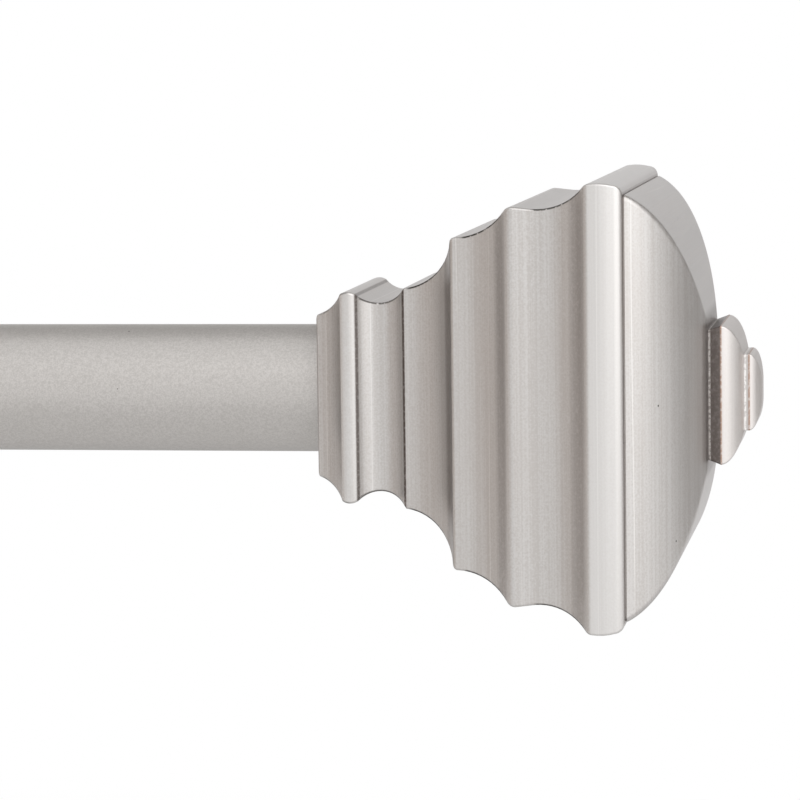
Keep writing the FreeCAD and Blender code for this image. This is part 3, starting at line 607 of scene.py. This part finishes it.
def finial_nickel(name, waxed=(), groove_wax_and_shade=(), polish_and_highlight=()):
    """Satin nickel brushed round the rod's axis, with scratches, pits and dark wax, and with painted
    shade in the grooves and painted highlight on the ribs.

    waxed lists (from, to, strength) along the finial for the wax on the mitres, polish_and_highlight lists
    the same for ribs made pale with polish and painted highlight, and groove_wax_and_shade lists (middle,
    half width, strength) for grooves made dark with wax and painted shade, in millimetres.
    """
    nickel = satin_nickel(name, (2400, 9, 9), (1.0, 0.02, 0.03))
    split = nickel.add("ShaderNodeSeparateXYZ", {"Vector": nickel.place})
    along = nickel.math("SUBTRACT", nickel.math("ABSOLUTE", split.outputs["X"]), FACE)
    aside = nickel.math("ABSOLUTE", nickel.math("ADD", split.outputs["Y"], -AXIS_Y))
    above = nickel.math("ABSOLUTE", split.outputs["Z"])
    from_mitre = nickel.math("ABSOLUTE", nickel.math("SUBTRACT", aside, above))
    colour = nickel.colour
    # Painted highlight, partly real polish: the rims and the bead are lightened towards pale nickel.
    for start, end, strength in polish_and_highlight:
        within = nickel.math("MULTIPLY", nickel.range(along, (start - 0.5) * MM, (start + 0.3) * MM),
                             nickel.range(along, (end - 0.3) * MM, (end + 0.5) * MM, 1.0, 0.0))
        colour = nickel.mix(nickel.math("MULTIPLY", within, strength), colour, (0.76, 0.745, 0.73))

    scratches_per_metre = 150.0
    wander = nickel.math("MULTIPLY", nickel.noise((70, 3, 3), 1.0), 2.0)
    count = nickel.math("ADD", nickel.math("MULTIPLY", along, scratches_per_metre), wander)
    from_line = nickel.math("ABSOLUTE", nickel.math("SUBTRACT", nickel.math("FRACT", count), 0.5))
    line = nickel.range(from_line, 0.006, 0.016, 1.0, 0.0)
    fade = nickel.range(nickel.noise((110, 10, 10), 1.0), 0.44, 0.58)
    scratch = nickel.math("MULTIPLY", line, nickel.math("MULTIPLY", fade, 0.5))
    colour = nickel.mix(scratch, colour, (0.80, 0.78, 0.76))

    dots = nickel.range(nickel.dots(110), 0.015, 0.03, 0.9, 0.0)
    colour = nickel.mix(dots, colour, (0.05, 0.045, 0.04))

    speck = nickel.noise((1500, 1500, 1500), 1.0)
    for start, end, strength in waxed:
        within = nickel.math("MULTIPLY", nickel.range(along, (start - 0.6) * MM, (start + 0.6) * MM),
                             nickel.range(along, (end - 0.6) * MM, (end + 0.6) * MM, 1.0, 0.0))
        near = nickel.range(from_mitre, 0.12 * MM, 0.45 * MM, 1.0, 0.0)
        # Below the rod's axis the dark mitre line is unbroken instead of dotted, so the lower mitres come out
        # darker.
        below = nickel.range(split.outputs["Z"], -2 * MM, 2 * MM, 0.8, 0.0)
        dotted = nickel.math("MAXIMUM", nickel.range(speck, 0.28, 0.44), below)
        on_mitre = nickel.math("MULTIPLY", within, near)
        share = nickel.math("MULTIPLY", on_mitre, nickel.math("MULTIPLY", dotted, strength))
        colour = nickel.mix(share, colour, (0.045, 0.04, 0.035))
    # Painted shade, partly real wax: the grooves and the seams get a brown-black line.
    for middle, half, strength in groove_wax_and_shade:
        from_groove = nickel.math("ABSOLUTE", nickel.math("SUBTRACT", along, middle * MM))
        near = nickel.range(from_groove, half * MM * 0.3, half * MM, 1.0, 0.0)
        patchy = nickel.range(speck, 0.30, 0.52, 0.7, 1.0)
        share = nickel.math("MULTIPLY", nickel.math("MULTIPLY", near, patchy), strength)
        colour = nickel.mix(share, colour, (0.10, 0.075, 0.065))
    return nickel.wear(Base_Color=colour, Roughness=nickel.gloss, Normal=nickel.relief)


FINIAL_NICKEL = finial_nickel(
    "finial_nickel",
    waxed=[(1.0, 7.0, 0.5), (9.0, 17.5, 0.8), (19.0, 28.0, 1.0), (31.0, 39.0, 1.0), (45.0, 54.5, 0.9)],
    groove_wax_and_shade=[(8.6, 0.4, 0.75), (17.95, 0.4, 0.9), (27.7, 1.1, 0.35), (38.6, 1.4, 0.28), (53.5, 1.9, 0.28),
              (62.2, 0.1, 0.35)],
    polish_and_highlight=[(55.9, 61.8, 0.55), (5.6, 8.2, 0.3)])
RIM_END = 62.2
for side in SIDES:
    bm = square_moulding(follow((0, 15.45), [
        (0.5, 15.95, -0.6), (5.4, 20.2, 8.7), (8.4, 20.2, -3.0), (17.7, 20.95, 6.1), (18.1, 21.4, 0),
        (28.48, 30.94, 12.0), (29.46, 31.76, -1.0), (39.48, 36.93, 13.2), (41.35, 37.79, -2.0),
        (44.0, 37.5, 0), (54.81, 41.54, 11.9), (55.98, 42.22, -1.8), (60.5, 41.95, -12.0),
        (RIM_END, 40.1, -1.9)]), 0.45)
    socket_radius = 12.75
    socket_depth = 20.3
    tie_radius = 2.55
    cavity_start = 23.8
    socket = ring_of(bm, 0, socket_radius, 96)
    close(bm, ring_at(bm, 0))
    carry(bm, socket, (0, socket_radius), [(socket_depth, socket_radius)])
    tie_hole = ring_of(bm, socket_depth, tie_radius, 32)
    close(bm, ring_at(bm, socket_depth))
    carry(bm, tie_hole, (socket_depth, tie_radius), [(cavity_start, tie_radius)])
    carry(bm, ring_at(bm, RIM_END), (RIM_END, 40.1), [
        (RIM_END, 38.4), (55.8, 38.4), (47.8, 33.7), (42.1, 33.7), (30.8, 27.95), (cavity_start, 16.45)])
    close(bm, ring_at(bm, cavity_start))
    bmesh.ops.remove_doubles(bm, verts=bm.verts, dist=1e-4)
    set_screw_along = 13.05
    hole = drop(turned([(12.0, TAPPED_RADIUS), (22.0, TAPPED_RADIUS)], 32), set_screw_along)
    casting = joined(bm, cut=[hole])
    piece_of(side + "_casting", casting, outboard(side), FINIAL_NICKEL, side + "_finial",
             [side + "_finial_body"])


# ---- Finial domes ----
# Four-sided vaults, pressed from sheet and brushed, whose skirts drop inside the castings' rims.
# A fine dark line of wax and painted shade marks each seam.
def oval(centre, rise, half, start, end, steps, fullness=2.0):
    """Points of an oval outline between two distances along the axis: above 2 is fuller than an oval."""
    first = math.acos(((start - centre) / rise) ** (fullness / 2))
    last = math.acos(((end - centre) / rise) ** (fullness / 2))
    points = []
    for step in range(steps + 1):
        angle = first + (last - first) * step / steps
        points.append((centre + rise * math.cos(angle) ** (2 / fullness),
                       half * math.sin(angle) ** (2 / fullness)))
    return points


SKIRT_START = 56.2
OVAL_CENTRE = 57.925
DOME_TOP = 76.1
DOME_NICKEL = finial_nickel("dome_nickel", groove_wax_and_shade=[(DOME_TOP, 0.5, 0.5)])
for side in SIDES:
    outline = [(SKIRT_START, 38.25), (RIM_END, 38.25), (RIM_END, 39.95)]
    outline += oval(OVAL_CENTRE, 19.1, 41.1, 62.6, DOME_TOP, 36, 2.1)
    bm = square_moulding(outline, 1.0)
    close(bm, ring_at(bm, outline[-1][0]))
    inner = [(SKIRT_START, 36.25), (RIM_END, 36.25)] + oval(OVAL_CENTRE, 16.1, 38.1, 63.0, 74.0, 12)
    carry(bm, ring_at(bm, SKIRT_START), (SKIRT_START, 38.25), inner)
    close(bm, ring_at(bm, inner[-1][0]))
    piece_of(side + "_dome", bm, outboard(side), DOME_NICKEL, side + "_finial",
             [side + "_finial_dome"])


# ---- Finial tips ----
# Two stacked square buttons, cast and brushed, soldered to the dome, their nickel pale with polish
# and painted highlight. Wax darkens the flared side of each, its edge is worn to a brown tint, and
# bright solder shows in a line round its foot.
def tip_nickel(name, foot, edge, dark):
    """Nickel of one button, whose flared side runs from its foot to its edge, in millimetres.

    dark is how much of that side the wax covers.
    """
    nickel = satin_nickel(name, (2400, 60, 60), (1.0, 0.02, 0.03), 0.38)
    split = nickel.add("ShaderNodeSeparateXYZ", {"Vector": nickel.place})
    along = nickel.math("SUBTRACT", nickel.math("ABSOLUTE", split.outputs["X"]), FACE)
    # Painted highlight, partly a brighter polish: the buttons' nickel is mixed halfway towards pale nickel.
    colour = nickel.mix(0.5, nickel.colour, (0.80, 0.755, 0.73))
    speck = nickel.noise((1500, 1500, 1500), 2.0)
    flare = nickel.range(along, (edge - 0.25) * MM, (edge + 0.05) * MM, dark, 0.0)
    colour = nickel.mix(nickel.math("MULTIPLY", flare, nickel.range(speck, 0.3, 0.6, 0.85, 1.0)), colour,
                        (0.17, 0.145, 0.135))
    from_edge = nickel.math("ABSOLUTE", nickel.math("SUBTRACT", along, (edge + 0.05) * MM))
    brown = nickel.math("MULTIPLY", nickel.range(from_edge, 0.05 * MM, 0.28 * MM, 0.9, 0.0),
                        nickel.range(speck, 0.35, 0.55, 0.4, 1.0))
    colour = nickel.mix(brown, colour, (0.36, 0.22, 0.16))
    solder = nickel.math("MULTIPLY", nickel.range(along, (foot + 0.30) * MM, (foot + 0.50) * MM, 1.0, 0.0),
                         nickel.range(speck, 0.38, 0.55, 0.35, 1.0))
    colour = nickel.mix(solder, colour, (0.92, 0.90, 0.88))
    return nickel.wear(Base_Color=colour, Roughness=nickel.gloss, Normal=nickel.relief)


LOWER_TOP = 82.66
LOWER_NICKEL = tip_nickel("lower_button_nickel", DOME_TOP, 78.50, 0.9)
UPPER_NICKEL = tip_nickel("upper_button_nickel", LOWER_TOP, 83.55, 0.25)
for side in SIDES:
    outline = follow((DOME_TOP, 12.65), [(78.25, 13.36, 0), (78.75, 13.42, -0.4)])
    outline += oval(78.5, 5.0, 13.45, 79.0, LOWER_TOP, 14)
    bm = square_moulding(outline, 0.3)
    close(bm, ring_at(bm, outline[0][0]))
    close(bm, ring_at(bm, outline[-1][0]))
    piece_of(side + "_lower_button", bm, outboard(side), LOWER_NICKEL, side + "_finial",
             [side + "_finial_tip_lower"])
    outline = [(LOWER_TOP, 7.45), (83.51, 7.45)] + oval(83.61, 2.4, 7.45, 83.75, 85.87, 10)
    bm = square_moulding(outline, 0.25)
    close(bm, ring_at(bm, outline[0][0]))
    close(bm, ring_at(bm, outline[-1][0]))
    piece_of(side + "_upper_button", bm, outboard(side), UPPER_NICKEL, side + "_finial",
             [side + "_finial_tip_upper"])


# ---- Floor and surround ----
# A pale floor well below the rod that fades to white further off, under a white surround.
def floor_paint():
    """Pale matt paint that keeps the shadow under the object and is plain white beyond it."""
    paint = Finish("floor_paint", 0.0, 0.9)
    speckle = paint.noise((30, 30, 30), 4.0)
    colour = paint.mix(paint.range(speckle, 0.3, 0.7), (0.875, 0.875, 0.875), (0.885, 0.885, 0.885))
    paint.wear(Base_Color=colour)
    white = paint.add("ShaderNodeEmission", {"Color": (1.0, 1.0, 1.0, 1.0), "Strength": 1.0})
    clear = paint.add("ShaderNodeBsdfTransparent")
    ray = paint.add("ShaderNodeLightPath")
    seen = paint.math("MAXIMUM", ray.outputs["Is Camera Ray"], ray.outputs["Is Glossy Ray"])
    seen = paint.math("MAXIMUM", seen, ray.outputs["Is Transmission Ray"])
    reach = paint.add("ShaderNodeVectorMath", {0: paint.place}, operation="LENGTH").outputs["Value"]
    far = paint.math("MULTIPLY", paint.range(reach, 0.9, 1.7), seen)
    mixed = paint.add("ShaderNodeMixShader", {0: far, 1: paint.surface.outputs[0], 2: white.outputs[0]})
    below = paint.add("ShaderNodeNewGeometry").outputs["Backfacing"]
    shown = paint.add("ShaderNodeMixShader", {0: below, 1: mixed.outputs[0], 2: clear.outputs[0]})
    output = paint.tree.nodes["Material Output"]
    paint.feed(output.inputs["Surface"], shown.outputs[0])
    return paint.material


FLOOR_DROP = 0.45
bm = bmesh.new()
bmesh.ops.create_grid(bm, x_segments=1, y_segments=1, size=30)
bmesh.ops.translate(bm, vec=(0, 0, -FLOOR_DROP), verts=bm.verts)
floor_mesh = bpy.data.meshes.new("floor")
bm.to_mesh(floor_mesh)
bm.free()
floor_mesh.materials.append(floor_paint())
floor = bpy.data.objects.new("floor", floor_mesh)
bpy.context.scene.collection.objects.link(floor)

world = bpy.data.worlds.new("surround")
bpy.context.scene.world = world
world.use_nodes = True
nodes = world.node_tree.nodes
light_path = nodes.new("ShaderNodeLightPath")
seen = nodes.new("ShaderNodeMath")
seen.operation = "MAXIMUM"
world.node_tree.links.new(light_path.outputs["Is Camera Ray"], seen.inputs[0])
world.node_tree.links.new(light_path.outputs["Is Glossy Ray"], seen.inputs[1])
through = nodes.new("ShaderNodeMath")
through.operation = "MAXIMUM"
world.node_tree.links.new(seen.outputs[0], through.inputs[0])
world.node_tree.links.new(light_path.outputs["Is Transmission Ray"], through.inputs[1])
strength = nodes.new("ShaderNodeMapRange")
world.node_tree.links.new(through.outputs[0], strength.inputs["Value"])
strength.inputs["To Min"].default_value = 0.7
strength.inputs["To Max"].default_value = 1.0
world.node_tree.links.new(strength.outputs["Result"], nodes["Background"].inputs["Strength"])
nodes["Background"].inputs["Color"].default_value = (1.0, 1.0, 1.0, 1.0)

# ---- Lamps and cards ----
# One large soft lamp above the right-hand finial, in front of it and to its right. The metal also
# reflects three matt studio cards: on its left, behind it to the right, and over its back.
finial_low, finial_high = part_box("right_finial_body")
FINIAL_CENTRE = (finial_low + finial_high) / 2


def facing(azimuth, elevation, distance):
    """Place that looks back at the finial. Azimuth 0 is in front and 90 to the right."""
    a = math.radians(azimuth)
    e = math.radians(elevation)
    way = Vector((math.sin(a) * math.cos(e), -math.cos(a) * math.cos(e), math.sin(e)))
    turn = way.to_track_quat("Z", "Y").to_matrix().to_4x4()
    return Matrix.Translation(FINIAL_CENTRE + way * distance) @ turn


def soft_lamp(name, azimuth, elevation, distance, width, height, brightness):
    """Rectangular lamp whose face is that many times as bright as white."""
    lamp = bpy.data.lights.new(name, "AREA")
    lamp.shape = "RECTANGLE"
    lamp.size = width
    lamp.size_y = height
    lamp.energy = brightness * math.pi * width * height
    holder = bpy.data.objects.new(name, lamp)
    holder.matrix_world = facing(azimuth, elevation, distance)
    holder.visible_camera = False
    bpy.context.scene.collection.objects.link(holder)


def card_paint(name, tint):
    """Matt card stock."""
    paint = Finish(name, 0.0, 0.95)
    tooth = paint.noise((200, 200, 200), 3.0)
    return paint.wear(Base_Color=paint.mix(tooth, [0.97 * t for t in tint], [1.03 * t for t in tint]))


def studio_card(name, azimuth, elevation, distance, width, height, material):
    """Card that only the metal's reflections see."""
    bm = bmesh.new()
    bmesh.ops.create_grid(bm, x_segments=1, y_segments=1, size=0.5)
    bmesh.ops.scale(bm, vec=(width, height, 1), verts=bm.verts)
    bmesh.ops.transform(bm, matrix=facing(azimuth, elevation, distance), verts=bm.verts)
    mesh = bpy.data.meshes.new(name)
    bm.to_mesh(mesh)
    bm.free()
    mesh.materials.append(material)
    card = bpy.data.objects.new(name, mesh)
    card.visible_camera = False
    card.visible_diffuse = False
    card.visible_shadow = False
    bpy.context.scene.collection.objects.link(card)


soft_lamp("key", 50, 30, 1.7, 2.9, 2.4, 0.88)
WARM_CARD = card_paint("warm_card", (0.86, 0.80, 0.76))
GREY_CARD = card_paint("grey_card", (0.62, 0.61, 0.60))
studio_card("left_card", -85, 0, 2.0, 3.6, 3.0, WARM_CARD)
studio_card("right_card", 138, 12, 2.2, 2.0, 1.9, GREY_CARD)
studio_card("top_card", 180, 50, 2.2, 4.0, 2.0, GREY_CARD)

bpy.context.scene.view_settings.view_transform = "Standard"
